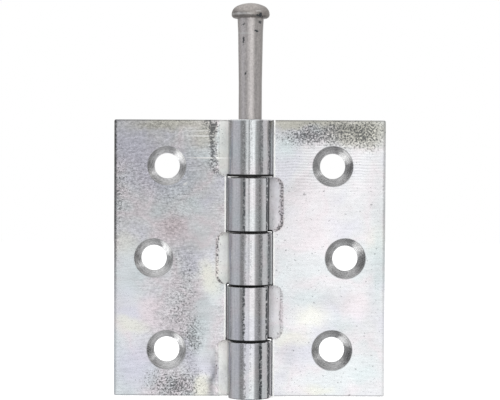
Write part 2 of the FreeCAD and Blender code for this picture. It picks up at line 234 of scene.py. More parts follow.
class Net:
    """The node tree of a material or of the world, written as expressions."""

    def __init__(self, owner):
        owner.use_nodes = True
        self.tree = owner.node_tree
        self.tree.nodes.clear()

    def node(self, kind, settings=None, inputs=None, output=0):
        """Adds a node. Its settings are made first, then its inputs get their values or links."""
        made = self.tree.nodes.new("ShaderNode" + kind)
        for name, setting in (settings or {}).items():
            if name == "stops":
                self.set_stops(made.color_ramp, setting)
            else:
                setattr(made, name, setting)
        for key, value in (inputs or {}).items():
            if isinstance(value, Value):
                self.tree.links.new(value.socket, made.inputs[key])
            else:
                made.inputs[key].default_value = value
        return Value(self, made.outputs[output]) if made.outputs else made

    @staticmethod
    def set_stops(ramp, stops):
        """Gives a colour ramp its stops, pairs of a position and a colour."""
        while len(ramp.elements) > 1:
            ramp.elements.remove(ramp.elements[-1])
        for index, (position, colour) in enumerate(stops):
            stop = ramp.elements[0] if index == 0 else ramp.elements.new(position)
            stop.position = position
            stop.color = (*colour, 1.0)

    def step(self, value, low, high, start=0.0, end=1.0):
        """Runs smoothly from start to end while value runs from low to high."""
        return self.node(
            "MapRange",
            {"interpolation_type": "SMOOTHSTEP"},
            {0: value, 1: low, 2: high, 3: start, 4: end},
        )

    def fade(self, value, low, high):
        """Falls smoothly from 1 to 0 while value runs from low to high."""
        return self.step(value, low, high, 1.0, 0.0)

    def band(self, value, low, full, fading, gone):
        """Rises from 0 to 1 between the first two limits, and falls back between the other two."""
        return self.step(value, low, full) * self.fade(value, fading, gone)

    def least(self, first, *others):
        """The smallest of some values."""
        for other in others:
            first = self.node("Math", {"operation": "MINIMUM"}, {0: first, 1: other})
        return first

    def most(self, first, *others):
        """The largest of some values."""
        for other in others:
            first = self.node("Math", {"operation": "MAXIMUM"}, {0: first, 1: other})
        return first

    def distance(self, across, along):
        """Length of the hypotenuse over two numbers."""
        return (across * across + along * along) ** 0.5

    def mix(self, factor, first, second, blend="MIX"):
        """Mixes two colours."""
        first = first if isinstance(first, Value) else (*first, 1.0)
        second = second if isinstance(second, Value) else (*second, 1.0)
        return self.node(
            "Mix", {"data_type": "RGBA", "blend_type": blend}, {0: factor, 6: first, 7: second}, 2
        )

    def grey(self, value):
        """A grey as bright as value."""
        return self.node("CombineColor", None, {0: value, 1: value, 2: value})

    def shaded(self, colour, brightness):
        """A colour made lighter or darker."""
        return self.mix(1.0, colour, self.grey(brightness), "MULTIPLY")

    def vector(self, x, y, z):
        return self.node("CombineXYZ", None, {0: x, 1: y, 2: z})

    def apart(self, vector):
        """The x, y and z of a vector."""
        x = self.node("SeparateXYZ", None, {0: vector})
        return x, x.output("Y"), x.output("Z")

    def noise(self, where, scale, detail=2.0, roughness=0.5):
        """Noise between about 0.25 and 0.75, with scale waves to the millimetre."""
        inputs = {"Vector": where, "Scale": scale, "Detail": detail, "Roughness": roughness}
        return self.node("TexNoise", {"noise_dimensions": "3D"}, inputs)

    def swing(self, noise, amount):
        """A noise laid about 0 and made amount times as strong."""
        return amount * (noise - 0.5)

    def object_place(self):
        """Object coordinates in millimetres."""
        metres = self.node("TexCoord", output="Object")
        return self.node("VectorMath", {"operation": "SCALE"}, {0: metres, "Scale": 1 / MM})

    def angle(self, rise, run):
        """Degrees from the run's direction, -180 to 180."""
        return self.node("Math", {"operation": "ARCTAN2"}, {0: rise, 1: run}) * (180 / math.pi)

    def round_z(self, x, y):
        """Degrees round the Z axis from the front, positive to the right."""
        return self.angle(x, 0 - y)

    def seen(self):
        """1 for rays from the camera, off metal and through glass, and 1 for those off metal."""
        path = self.node("LightPath", output="Is Camera Ray")
        glossy = path.output("Is Glossy Ray")
        return path + glossy + path.output("Is Transmission Ray"), glossy

    def astray(self, where, scale, reach):
        """Places moved about at random by up to half of reach, so that marks get uneven rims."""
        noise = self.node("TexNoise", None, {"Vector": where, "Scale": scale, "Detail": 3.0}, 1)
        moved = self.node(
            "VectorMath", {"operation": "MULTIPLY_ADD"}, {0: noise, 1: (reach,) * 3, 2: where}
        )
        return self.node("VectorMath", {"operation": "SUBTRACT"}, {0: moved, 1: (reach / 2,) * 3})

    def spot(self, where, mark, rim=None):
        """An elliptical mark, at its strength in the middle and falling evenly to its outline.

        A rim is two shares of the way in from the outline, between which it falls smoothly.
        """
        x, z, across, up, strength, turn = (*mark, 0.0)[:6]
        inputs = {
            "Vector": where,
            "Location": (x, 0.0, z),
            "Rotation": (0.0, math.radians(turn), 0.0),
            "Scale": (across, ANY_DEPTH, up),
        }
        held = self.node("Mapping", {"vector_type": "TEXTURE"}, inputs)
        near = self.node("TexGradient", {"gradient_type": "SPHERICAL"}, {"Vector": held}, 1)
        return strength * (self.step(near, *rim) if rim else near)

    def marked(self, where, marks):
        """Sum of a list of marks."""
        return sum(self.spot(where, mark) for mark in marks)

    def surface(self, height, inputs):
        """The Principled shader with a bump of some millimetres, and the way out of the tree."""
        bump = self.node("Bump", None, {"Strength": 1.0, "Distance": MM, "Height": height})
        shader = self.node("BsdfPrincipled", None, {**inputs, "Normal": bump})
        self.node("OutputMaterial", None, {"Surface": shader})


# Marks on the two leaves. A mark on a face is an ellipse: the x and z of its middle, its half-axes
# across and up, how strongly it shows, and, if it is turned, by how many degrees.
#   side                -1 for the left leaf, 1 for the right one
#   shade               brightness of the plating
#   grain, brushed      how uneven it looks, in spots and in level strokes
#   film_share          how much the passivation film colours it
#   pits                darkness of the scattered pits
#   rims                darkening along the outer, the lower and the upper edge
#   nip, nip_shade       the crease where a ramp meets its knuckle: how far out, and how dark its painted shade is
#   sink, cut  the countersinks' rim radius, and the brightness of their painted reflection
#   pocket              colour of the pressed pockets
#   pockets             middle height, half the height, and the dirt and painted shade of each pocket's fold
#   fold_start          radius round a pocket's corner at which the dirt and painted shade of its far fold set in
#   calm, soot, tone    even plating, dark speckle, and lighter or darker plating
#   film                patches of the film, marks that end with a colour
#   scratches, ripples  bright scratches, and level ripples
#   lines               speckle along the knuckles: degrees round the barrel from the front, half
#                       the width in degrees, and strength
#   foot_lines          how much stronger those lines are on the lowest knuckle
FRAME_MARKS = {
    "side": -1,
    "shade": 0.94,
    "grain": 1.0,
    "brushed": 0.45,
    "film_share": 0.6,
    "pits": 0.0,
    "rims": (1.0, 0.45, 0.55),
    "nip": 4.6,
    "nip_shade": 0.35,
    "fold_start": 1.5,
    "sink": 4.25,
    "cut": 1.09,
    "pocket": (0.88, 0.90, 0.855),
    "pockets": [(4.0, 8.3, 0.25), (30.0, 5.75, 0.55), (56.0, 8.3, 0.2)],
    "calm": [
        (-25, 54.5, 8, 6.5, 0.6), (-10.5, 34, 5, 7, 1), (-10, 19, 4, 8, 1.2),
        (-27, 24, 5.5, 15, 1.2), (-25, 5, 7, 9, 0.9), (-22, 40, 6, 5, 0.6), (-10.5, 43, 6.5, 8, 1),
        (-9, 6, 3, 9, 1.4),
    ],
    "soot": [
        (-18, 59.6, 12, 1.5, 0.4), (-28.6, 42, 2.2, 16, 0.5), (-17.2, 36.8, 3.6, 4, 0.3),
        (-8.6, 58.6, 2.4, 2.8, 0.85), (-8.1, 54, 1.3, 7, 1), (-7, 48.6, 1.1, 2.3, 0.7, -35),
        (-14.3, 49, 0.6, 0.7, 0.9), (-16.5, 44, 7, 5, 0.26), (-13.7, 27.1, 4.6, 8, 0.36),
        (-15, 18.4, 6, 7, 0.45), (-16.1, 2.4, 9, 5.5, 0.75), (-12.4, 12.5, 3.4, 6, 0.55, 10),
        (-25, 48, 7.5, 10, 0.3), (-12, 44, 8, 9, 0.16),
    ],
    "film": [
        (-17.5, 59.4, 13, 2.6, 0.9, "olive"), (-9.5, 56.8, 5, 3.8, 0.7, "olive"),
        (-19.3, 48.8, 12, 8, 0.7, "lavender"), (-25.5, 54, 8, 6, 0.8, "lavender"),
        (-16.7, 36.2, 6.5, 5, 0.9, "rose"), (-17, 36.8, 4.2, 4, 0.35, "umber"),
        (-26.5, 33, 4.5, 4, 0.45, "cream"), (-12.6, 41.4, 4, 4, 0.6, "ice"),
        (-8.6, 26, 3.4, 6, 0.75, -20, "cream"), (-25.8, 27.1, 6, 8, 0.7, "ice"),
        (-10.6, 14.1, 4, 9, 0.7, "ice"), (-21.5, 18.4, 4, 6, 0.8, "rose"),
        (-25.6, 15.4, 5.5, 2.4, 0.7, 8, "cream"), (-24.7, 6.5, 7, 7, 0.7, "lavender"),
        (-6, 30, 2, 7.5, 0.5, "cream"), (-10.4, 1.5, 2.6, 4.5, 0.85, "cream"),
        (-6, 55, 1.8, 9, 0.9, "ice"), (-6, 52, 1.6, 2.6, 0.8, "cream"),
    ],
    "tone": [
        (-16.5, 52, 16, 14, -0.1), (-13, 30, 7, 12, -0.1), (-26, 14, 7, 18, 0.16),
        (-10.4, 4, 1.6, 9, 0.3, 3), (-7.9, 3.4, 1.2, 8.5, -0.55, 5),
        (-8.6, 26, 3.8, 7.5, 0.26, -20), (-26.5, 31.5, 5, 6, 0.14), (-14, 12, 7.5, 18, -0.2),
        (-16, 1, 9, 5, -0.1), (-26, 22, 6, 18, 0.1), (-7.5, 20, 4, 20, 0.08),
    ],
    "scratches": [
        (-12.2, 58.2, 2.8, 0.14, 0.5), (-10.7, 56.5, 4.6, 0.17, 0.9), (-10.5, 57.6, 3.6, 0.14, 0.6),
        (-8.8, 51.75, 6.5, 0.19, 0.9, 0.2), (-17.4, 22.8, 0.14, 3.4, 0.3),
        (-13.5, 22.3, 0.14, 3, 0.3), (-14, 46.1, 0.8, 0.35, 0.6, -30),
    ],
    "ripples": [(-10.0, 47.0, 9.0, 6.0, 0.03)],
    "lines": [(-14.0, 9.0, 0.45), (3.5, 3.5, 0.3), (30.0, 7.5, 0.8), (58.0, 6.0, 0.95)],
    "foot_lines": 1.35,
}
SWING_MARKS = {
    "side": 1,
    "shade": 1.09,
    "grain": 0.4,
    "brushed": 0.27,
    "film_share": 0.4,
    "pits": 0.45,
    "rims": (0.50, 0.50, 0.60),
    "nip": 4.1,
    "nip_shade": 0.95,
    "fold_start": 1.0,
    "sink": 4.4,
    "cut": 0.93,
    "pocket": (0.80, 0.79, 0.82),
    "pockets": [(18.275, 5.975, 0.30), (41.725, 5.975, 0.62)],
    "calm": [],
    "soot": [(12.4, 56.4, 9, 3, 0.9), (24, 56.6, 9.5, 4.8, 0.78), (18, 58.8, 13, 2, 0.4)],
    "film": [
        (24, 57.5, 11, 5.5, 0.95, "olive"), (7.8, 59.2, 5, 1.8, 0.8, "olive"),
        (14, 59.6, 12, 1.8, 0.9, "olive"), (7.5, 54.2, 3.6, 4, 0.8, "ice"),
        (13.5, 38, 9, 14, 0.35, "rose"), (13.5, 17.4, 6, 4.2, 0.6, "cream"),
        (9, 12.4, 6, 2.6, 0.55, "cream"), (27.6, 34, 3, 5, 0.5, "cream"),
        (14.9, 1.5, 5, 1.6, 0.6, "cream"), (12, 21.5, 7, 3, 0.6, "ice"),
        (20, 16, 4.5, 3.5, 0.5, "ice"), (11, 9, 6, 4.5, 0.4, "lavender"),
        (27.9, 29.3, 2.4, 14, 0.7, "ice"), (25.1, 4.4, 5, 3.5, 0.6, "ice"),
        (22.9, 19.6, 5, 5, 0.6, "rose"), (5.9, 41.8, 1.6, 6, 0.9, "lavender"),
        (5.9, 18.4, 1.6, 6, 0.7, "rose"),
    ],
    "tone": [
        (17, 58.5, 20, 6, -0.36), (15, 32, 9, 16, 0.05), (28, 30, 4.5, 30, -0.16),
        (10, 50, 6, 8, -0.08), (13, 17, 6, 4.5, 0.08), (17.5, 21, 8, 3.5, -0.14),
        (20.5, 14.5, 5, 3.5, -0.12), (9, 9.5, 4, 3, -0.1), (26, 10, 5, 9, -0.06),
    ],
    "scratches": [(10.5, 52.4, 3.4, 0.1, 0.4), (25.8, 50.8, 3.6, 0.1, 0.4, 0.5)],
    "ripples": [(17.5, 50.2, 16.0, 7.0, 0.17)],
    "lines": [(-15.0, 6.0, 0.95), (24.0, 8.0, 0.5), (49.0, 4.5, 1.25)],
    "foot_lines": 1.0,
}
# Painted reflection on a countersunk cone, by degrees round it from the right: how pale it is, and
# how much of that is a milky painted highlight.
CONE_REFLECTION_TABLE = [
    (-180, 0.46, 0), (-163, 0.62, 0), (-152, 0.6, 0.4), (-138, 0.42, 0.1),
    (-118, 0.42, 0), (-75, 0.6, 0), (-45, 0.62, 0), (-20, 0.46, 0),
    (8, 0.56, 0), (17, 0.74, 0.35), (30, 0.91, 0.8), (44, 0.95, 1),
    (55, 0.9, 0.8), (63, 0.75, 0.2), (70, 0.7, 0), (120, 0.85, 0),
    (150, 0.7, 0), (180, 0.46, 0),
]


def merged_mesh(node):
    """A node's mesh with its loose triangles joined and its flat faces whole.

    Corners that agree to a tenth of a micron become one vertex, and flat neighbours one face.
    """
    source = bpy.data.objects[node].data
    corners = np.empty(len(source.vertices) * 3)
    source.vertices.foreach_get("co", corners)
    corners = np.round(corners.reshape(-1, 3), MERGE_DIGITS)
    points, joined = np.unique(corners, axis=0, return_inverse=True)
    loops = np.empty(len(source.loops), dtype=np.int64)
    source.loops.foreach_get("vertex_index", loops)
    triangles = joined.reshape(-1)[loops].reshape(-1, 3)
    a, b, c = triangles.T
    whole = (a != b) & (b != c) & (c != a)
    mesh = bpy.data.meshes.new(node)
    mesh.from_pydata(points.tolist(), [], triangles[whole].tolist())
    shape = bmesh.new()
    shape.from_mesh(mesh)
    bmesh.ops.dissolve_limit(shape, angle_limit=FLAT_ANGLE, verts=shape.verts, edges=shape.edges)
    shape.to_mesh(mesh)
    shape.free()
    return mesh


def add_piece(name, mesh, material, body, node):
    """Puts a piece in the scene in place of a node, on that node's body."""
    mesh.materials.clear()
    mesh.materials.append(material)
    piece = bpy.data.objects.new(name, mesh)
    bpy.context.collection.objects.link(piece)
    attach(piece, body)
    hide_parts(node)
    return piece


def soften(piece, sizes):
    """Rounds the sheared edges, and shades what meets gently as one surface."""
    mesh = piece.data
    mesh.shade_smooth()
    mesh.set_sharp_from_angle(angle=sizes.smooth_angle)
    rounding = piece.modifiers.new("sheared edges", "BEVEL")
    rounding.limit_method = "ANGLE"
    rounding.angle_limit = sizes.smooth_angle
    rounding.width = sizes.edge_softness
    rounding.segments = sizes.edge_steps
    rounding.harden_normals = True


# Noises in the steel: waves to the millimetre, octaves, and how much each finer octave keeps.
FINE = (2.5, 2.0, 0.6)
GRAIN = (2.8, 2.0, 0.7)
PITS = (1.4, 0.0)
CLOUDS = (0.09, 2.0, 0.45)
BROAD = (0.16, 2.0)
DRIFT = (0.2, 1.0)
SLOW = (0.5, 2.0)
STROKES = (1.0, 2.0, 0.6)
STREAKS = (3.0, 4.0, 0.6)
DOTS = (1.5, 2.0, 0.75)
RINGS = (5.0, 2.0, 0.8)
STRAYING, GRAIN_STRAYING = (0.35, 3.0), (1.5, 0.2)      # as astray takes them

# Scale of some noises, across and up the leaf, or round the barrel or a cone and along it.
GRAIN_STRETCH = (0.6, 1.1)
STROKE_STRETCH = (0.25, 2.2)
STREAK_STRETCH = (0.16, 0.035)
RING_STRETCH = 0.004

# Zones of a leaf. With two limits a mask rises or fades between them. With four it rises between
# the first two and fades between the others. Out is along the leaf from the pin axis, back is
# behind that axis, both in millimetres, and the flank is in degrees round the barrel.
BARREL_SKIN = (BARREL_RADIUS + 0.02, BARREL_RADIUS + 0.09)
BORE_SKIN = (BORE_RADIUS + 0.02, BORE_RADIUS + 0.2)
FACE_BACK = (FRONT_LINE + 0.03, FRONT_LINE + 0.2)
BURR_BACK = (FRONT_LINE + 0.2, FRONT_LINE + 0.4)
CONE_BACK = (FRONT_LINE - 0.02, FRONT_LINE + 0.06)
PLATE_OUT, PLATE_BACK = (1.0, 2.0), (0.3, 0.8)
RAMP_OUT, RAMP_BACK = (3.0, 3.4, 7.6, 8.2), (FRONT_LINE + 0.03, FRONT_LINE + 0.14, 2.9, 3.1)
SLOT_OUT, NEAR_FACE = (4.4, 4.6, 5.02, 5.14), (0.5, 0.8, 1.45, 1.55)
EDGE_HIGHLIGHT_OUT = (5.12, 5.20, 5.42, 5.56)
FOLD_OUT = (4.8, 6.4)
FLANK = (75.0, 84.0, 96.0, 104.0)
FOOT_KNUCKLE = (11.0, 13.0)

# Half-widths of dark marks, of dirt and of painted shade: full within the first number, gone beyond
# the second.
SEAM_HALF, SEAM_RADIUS = (0.22, 0.34), (5.1, 5.4)
NIP_HALF = (0.10, 0.22)
BURR_HALF = (0.06, 0.16)
CONE_SLANT = (0.03, 0.15)       # the same for the cones, outwards from their rims
FOLD_BAND = (1.9, 2.1, 2.5)     # full, fading and gone, by the radius round a pocket's corner
OUTER_RIM, LEVEL_RIM = (0.30, 0.70), (0.12, 0.4)
RAGGED = 0.8                    # millimetres by which rims and folds stray
LINE_WANDER, CONE_WANDER = 6, 40        # the same in degrees
LINE_CORE = 0.4                 # share of a line's width that is full

# Values of a noise or of a mark between which a layer goes from none to full, or, with four
# numbers, from the third to the fourth.
PATCH_RIM, SCRATCH_RIM = (0.0, 0.8), (0.05, 0.5)
SOOT_RANGE, PIT_RANGE, DOT_RANGE = (0.60, 0.80), (0.80, 0.84), (0.54, 0.62)
RIM_BREAKS, BURR_BREAKS = (0.3, 0.55, 0.6, 1.0), (0.35, 0.6, 0.4, 1.0)
STREAK_TONE = (0.3, 0.7, 0.84, 1.0)
# The same by place: up the outer rim, up the pockets, and outwards on a cone, where the painted
# reflection darkens.
RIM_FADING = (15.0, 40.0, 0.4, 1.0)
POCKET_SHADE = (10.0, 62.0, 1.09, 0.85)
CONE_SHADE = (2.9, 4.1, 1.1, 0.85)

# How strongly a layer shows, or how far it moves what it acts on.
SOOT_SPREAD, SOOT_SHARE, DOT_SPREAD = 0.34, 0.85, 0.12
THICKEST, CALMEST, BRIGHTEST = 1.2, 0.9, 1.2
THICK_GRAIN, BROAD_TONE, KNUCKLE_GRAIN = 1.9, 0.2, 0.5
RIPPLE_PACE, RIPPLE_DRIFT = 10, 9
FINE_MOTTLE, SLOW_MOTTLE = 0.45, 0.5
POCKET_FILM, KNUCKLE_FILM = 0.3, 0.35
# In the next row, the last number is the strength of the painted highlight on the cones.
RING_TONE, CONE_GRAIN, FLARE_HIGHLIGHT = 1.5, 0.9, 0.8
FLANK_SHARE, BURR_SHARE, EDGE_HIGHLIGHT = 0.8, 0.4, 0.9
POCKET_SHARE, FOLD_SHARE, RAMP_CLEAN = 0.85, 0.8, 0.7
MILKY_RAMP, MILKY_EDGE, DULL_DIRT_AND_SHADE = 0.9, 0.6, 0.6
ROUGH_GRAIN, ROUGH_DIRT_AND_SHADE, ROUGH_RAMP, ROUGH_CONE, ROUGH_STREAKS = 0.14, 0.3, 0.25, 0.1, 0.12
DEEP_GRAIN, DEEP_SOOT, DEEP_RINGS, DEEP_STREAKS = 0.0022, 0.0035, 0.02, 0.0012   # millimetres

FILM_STOPS = ((0.34, "lavender"), (0.44, "zinc"), (0.50, "rose"), (0.56, "zinc"), (0.64, "ice"))
RIM_DARK = (0.10, 0.10, 0.10)
SEAM_PAINTED_SHADE = (0.008, 0.008, 0.008)
BARE_METAL_AND_HIGHLIGHT = (0.97, 0.97, 0.95)


def around_ramp(net, degrees, stops):
    """A colour by the angle: stops run from -180 to 180 degrees."""
    placed = [((angle + 180) / 360, colour) for angle, colour in stops]
    return net.node("ValToRGB", {"stops": placed}, {0: degrees / 360 + 0.5})


class LeafNet(Net):
    """The nodes of a leaf's steel, with the places, noises and zones that its layers share.

    Places are in millimetres: out runs along the leaf from the pin axis, and turned is the angle
    round the barrel from the front, in degrees. A zone is 1 on its part of the surface, else 0.
    """

    def __init__(self, material, marks):
        super().__init__(material)
        self.marks = marks
        self.place = self.object_place()
        self.x, self.y, self.z = self.apart(self.place)
        self.out = self.x * marks["side"]
        self.radius = self.distance(self.x, self.y)
        self.turned = self.round_z(self.x, self.y)
        self.loose = self.astray(self.place, *STRAYING)
        self.fine = self.noise(self.place, *FINE)
        across, up = GRAIN_STRETCH
        stretched = self.vector(self.x * across, self.y, self.z * up)
        self.grain = self.noise(self.astray(stretched, *GRAIN_STRAYING), *GRAIN)
        across, up = STREAK_STRETCH
        self.streaks = self.noise(self.vector(self.turned * across, self.z * up, 0.0), *STREAKS)
        self.set_zones()
        self.set_screw()

    def set_zones(self):
        """The rolled knuckles, all the rest, its front, the ramps, and the depth near the front."""
        behind = self.step(self.out, *PLATE_OUT) * self.step(self.y, *PLATE_BACK)
        self.rolled = self.fade(self.radius, *BARREL_SKIN) * (1 - behind)
        self.flat = 1 - self.rolled
        self.face = self.fade(self.y, *FACE_BACK) * self.flat
        self.ramp = self.band(self.out, *RAMP_OUT) * self.band(self.y, *RAMP_BACK)
        self.near_face = self.band(self.y, *NEAR_FACE)

    def set_screw(self):
        """Distance from the nearest screw's axis, the angle round it, and its countersunk cone."""
        level = self.z - LEAF_HEIGHT / 2
        middle = abs(level) < END_SCREW[1] / 2
        reach = END_SCREW[0] + (MIDDLE_SCREW - END_SCREW[0]) * middle
        high = self.node("Math", {"operation": "SIGN"}, {0: level}) * END_SCREW[1] * (1 - middle)
        beside = self.x - self.marks["side"] * reach
        above = level - high
        wander = self.swing(self.noise(self.place, *SLOW), CONE_WANDER)
        self.to_screw = self.distance(beside, above)
        self.round_screw = self.angle(above, beside) + wander
        slant = self.to_screw + (self.y - FRONT_LINE) - self.marks["sink"]
        self.cone = self.step(self.y, *CONE_BACK) * self.fade(slant, *CONE_SLANT)

    def seams(self):
        """Painted shade over the seams between the knuckles."""
        off = self.least(*(abs(self.z - height) for height in SEAM_SHADE_MIDDLES))
        return self.fade(off, *SEAM_HALF) * self.fade(self.radius, *SEAM_RADIUS)

    def crevices(self):
        """Painted shade in the bore, in the slots beside the knuckles, on their flanks and in the
        crease on the ramps.
        """
        bore = self.fade(self.radius, *BORE_SKIN)
        slot = self.band(self.out, *SLOT_OUT) * self.near_face
        nip = self.fade(abs(self.out - self.marks["nip"]), *NIP_HALF) * self.marks["nip_shade"]
        flank = self.band(abs(self.turned), *FLANK) * self.rolled
        return self.most(bore, slot, nip * self.ramp, FLANK_SHARE * flank)

    def pocket_folds(self):
        """Dirt and painted shade along the far fold of each pressed pocket: a band inside its
        rounded outline.
        """
        bands = []
        for centre, half, strength in self.marks["pockets"]:
            beyond = self.most(self.out - (PRESS_REACH - PRESS_CORNER), 0.0)
            higher = self.most(abs(self.z - centre) - (half - PRESS_CORNER), 0.0)
            bend = self.distance(beyond, higher) + self.swing(self.fine, RAGGED)
            bands.append(strength * self.band(bend, self.marks["fold_start"], *FOLD_BAND))
        return sum(bands) * self.step(self.out, *FOLD_OUT)

    def film(self, finish):
        """Soft pastel clouds of the passivation film."""
        stops = [(position, getattr(finish, tint)) for position, tint in FILM_STOPS]
        return self.node("ValToRGB", {"stops": stops}, {0: self.noise(self.loose, *CLOUDS)})

    def plating(self, finish, film):
        """Zinc with its film, and the film's patches that show most."""
        colour = self.mix(self.marks["film_share"], finish.zinc, film)
        for *mark, tint in self.marks["film"]:
            patch = self.spot(self.loose, mark, PATCH_RIM)
            colour = self.mix(patch, colour, getattr(finish, tint))
        return colour

    def plate_tone(self, thick):
        """Brightness of the plating: patches, grain, level strokes and ripples."""
        marks = self.marks
        across, up = STROKE_STRETCH
        calm = self.least(self.marked(self.loose, marks["calm"]), CALMEST) if marks["calm"] else 0
        strokes = self.noise(self.vector(self.x * across, 0.0, self.z * up), *STROKES)
        tone = 1 + self.marked(self.loose, marks["tone"])
        tone = tone + self.swing(self.grain, marks["grain"] * (1 - calm) + THICK_GRAIN * thick)
        tone = tone + self.swing(strokes, marks["brushed"])
        tone = tone + self.swing(self.noise(self.loose, *BROAD), BROAD_TONE)
        wave = self.z * RIPPLE_PACE + RIPPLE_DRIFT * self.noise(self.place, *DRIFT)
        ripple = self.node("Math", {"operation": "SINE"}, {0: wave})
        tone = self.least(tone, BRIGHTEST) + ripple * self.marked(self.place, marks["ripples"])
        return tone * marks["shade"]

    def pocket_colour(self, film):
        """Film in the pressed pockets, mottled, and darker towards the top of the leaf."""
        slow = self.noise(self.place, *SLOW)
        mottle = 1 + self.swing(self.fine, FINE_MOTTLE) + self.swing(slow, SLOW_MOTTLE)
        colour = self.mix(POCKET_FILM, self.marks["pocket"], film)
        return self.shaded(colour, mottle * self.step(self.z, *POCKET_SHADE))

    def knuckle_tone(self):
        """Brightness of the rolled knuckles: streaks drawn along the barrel, and grain."""
        return self.step(self.streaks, *STREAK_TONE) + self.swing(self.grain, KNUCKLE_GRAIN)

    def knuckle_lines(self):
        """Lines of speckle along the knuckles, which wander a little."""
        wander = self.swing(self.noise(self.vector(0.0, 0.0, self.z), *SLOW), LINE_WANDER)
        lines = self.most(*(
            strength * self.fade(abs(self.turned + wander - angle), width * LINE_CORE, width)
            for angle, width, strength in self.marks["lines"]
        ))
        lines = lines * self.step(self.z, *FOOT_KNUCKLE, self.marks["foot_lines"], 1.0)
        return self.step(self.noise(self.place, *DOTS) + DOT_SPREAD * lines, *DOT_RANGE) * lines

    def rims(self):
        """Darkening along the edges of the plate. On the outer edge it fades towards the foot."""
        outer, lower, upper = self.marks["rims"]
        inside = LEAF_REACH - self.out + self.swing(self.fine, RAGGED)
        rim = self.most(
            outer * self.fade(inside, *OUTER_RIM) * self.step(self.z, *RIM_FADING),
            lower * self.fade(self.z, *LEVEL_RIM),
            upper * self.fade(LEAF_HEIGHT - self.z, *LEVEL_RIM),
        )
        return rim * self.flat * self.step(self.grain, *RIM_BREAKS)

    def scratches(self, edge):
        """Bright scratches, and a painted highlight along the edge of the plate beside the
        knuckles.
        """
        cuts = (self.spot(self.place, mark, SCRATCH_RIM) for mark in self.marks["scratches"])
        return self.most(EDGE_HIGHLIGHT * edge, *cuts)

    def painted_cone_reflection(self):
        """Painted reflection on the cones by the angle round them, its milky painted highlights,
        and the turned rings.
        """
        stops = [(angle, (pale, flare_highlight, 0.0)) for angle, pale, flare_highlight in CONE_REFLECTION_TABLE]
        ramp = around_ramp(self, self.round_screw, stops)
        pale = self.node("SeparateColor", None, {0: ramp})
        flare_highlight = FLARE_HIGHLIGHT * pale.output("Green") * self.cone
        around = self.vector(self.to_screw, self.round_screw * RING_STRETCH, 0.0)
        rings = self.noise(around, *RINGS)
        tone = 1 + self.swing(rings, RING_TONE) + self.swing(self.grain, CONE_GRAIN)
        shade = self.step(self.to_screw, *CONE_SHADE) * self.marks["cut"]
        return pale * tone * shade, flare_highlight, rings

    def burrs(self):
        """Dark broken lines round the countersinks."""
        ring = self.fade(abs(self.to_screw - self.marks["sink"]), *BURR_HALF)
        broken = BURR_SHARE * ring * self.step(self.grain, *BURR_BREAKS)
        return broken * self.fade(self.y, *BURR_BACK) * self.flat


def leaf_steel(name, finish, marks):
    """Rolled sheet under passivated zinc, its marks placed in millimetres on the leaf."""
    material = bpy.data.materials.new(name)
    net = LeafNet(material, marks)
    film = net.film(finish)
    fold = net.pocket_folds()
    seam_shade = net.seams()
    # A painted highlight along the plate's edge beside the knuckles.
    edge = net.band(net.out, *EDGE_HIGHLIGHT_OUT) * net.near_face
    pale, flare_highlight, rings = net.painted_cone_reflection()
    thick = net.marked(net.loose, marks["soot"]) * (1 - RAMP_CLEAN * net.ramp) + fold
    thick = net.least(thick, THICKEST)
    soot = SOOT_SHARE * net.step(net.fine + SOOT_SPREAD * thick, *SOOT_RANGE)
    pits = net.step(net.noise(net.place, *PITS), *PIT_RANGE) * marks["pits"]
    dark = net.most(
        soot * net.flat * (1 - net.cone),
        net.knuckle_lines() * net.rolled,
        net.burrs(),
        pits * net.face,
        seam_shade,
        net.crevices(),
    )

    plated = net.shaded(net.plating(finish, film), net.plate_tone(thick))
    plated = net.mix(POCKET_SHARE * net.ramp, plated, net.pocket_colour(film))
    # The far folds get umber, for dirt and for painted shade on their slopes.
    plated = net.mix(FOLD_SHARE * fold, plated, finish.umber)
    barrel = net.shaded(net.mix(KNUCKLE_FILM, finish.zinc, film), net.knuckle_tone())
    colour = net.mix(net.rolled, plated, barrel)
    # The cones get their painted reflection in place of the plating.
    colour = net.mix(net.cone, colour, net.grey(pale))
    colour = net.mix(net.rims(), colour, RIM_DARK)
    # Bare metal in the scratches, and the painted highlight along the edge.
    colour = net.mix(net.scratches(edge), colour, BARE_METAL_AND_HIGHLIGHT)
    # The soot colour paints the speckle, pits, lines and burrs, and also the painted shade in the
    # seams, bore, slots, flanks and creases.
    colour = net.mix(dark, colour, finish.soot)
    # The seams get near-black painted shade.
    colour = net.mix(seam_shade, colour, SEAM_PAINTED_SHADE)

    milky = net.most(MILKY_RAMP * net.ramp * (1 - net.cone), MILKY_EDGE * edge, flare_highlight)
    rough = finish.leaf_roughness + net.swing(net.grain, ROUGH_GRAIN)
    rough = rough + ROUGH_DIRT_AND_SHADE * dark + ROUGH_RAMP * net.ramp + ROUGH_CONE * net.cone
    polish = finish.barrel_roughness - finish.leaf_roughness
    rough = rough + net.rolled * (polish + net.swing(net.streaks, ROUGH_STREAKS))
    height = net.swing(net.grain, DEEP_GRAIN) * net.flat + net.swing(net.fine, DEEP_SOOT) * soot
    height = height + net.swing(rings, DEEP_RINGS) * net.cone
    height = height + net.swing(net.streaks, DEEP_STREAKS) * net.rolled
    net.surface(height, {
        "Base Color": colour,
        "Metallic": (1 - DULL_DIRT_AND_SHADE * dark) * (1 - milky),
        "Roughness": rough,
    })
    return material


class HINGE_OT_leaves(Operator):
    """Makes the two leaves of rolled sheet steel."""

    bl_idname = "hinge.make_leaves"
    bl_label = "Make leaves"

    def execute(self, context):
        sizes = context.scene.hinge_sizes
        finish = context.scene.hinge_finish
        for node, marks in (("frame_leaf", FRAME_MARKS), ("swing_leaf", SWING_MARKS)):
            name = f"{node}_steel"
            material = leaf_steel(name, finish, marks)
            piece = add_piece(name, merged_mesh(node), material, node, node)
            soften(piece, sizes)
        return {"FINISHED"}


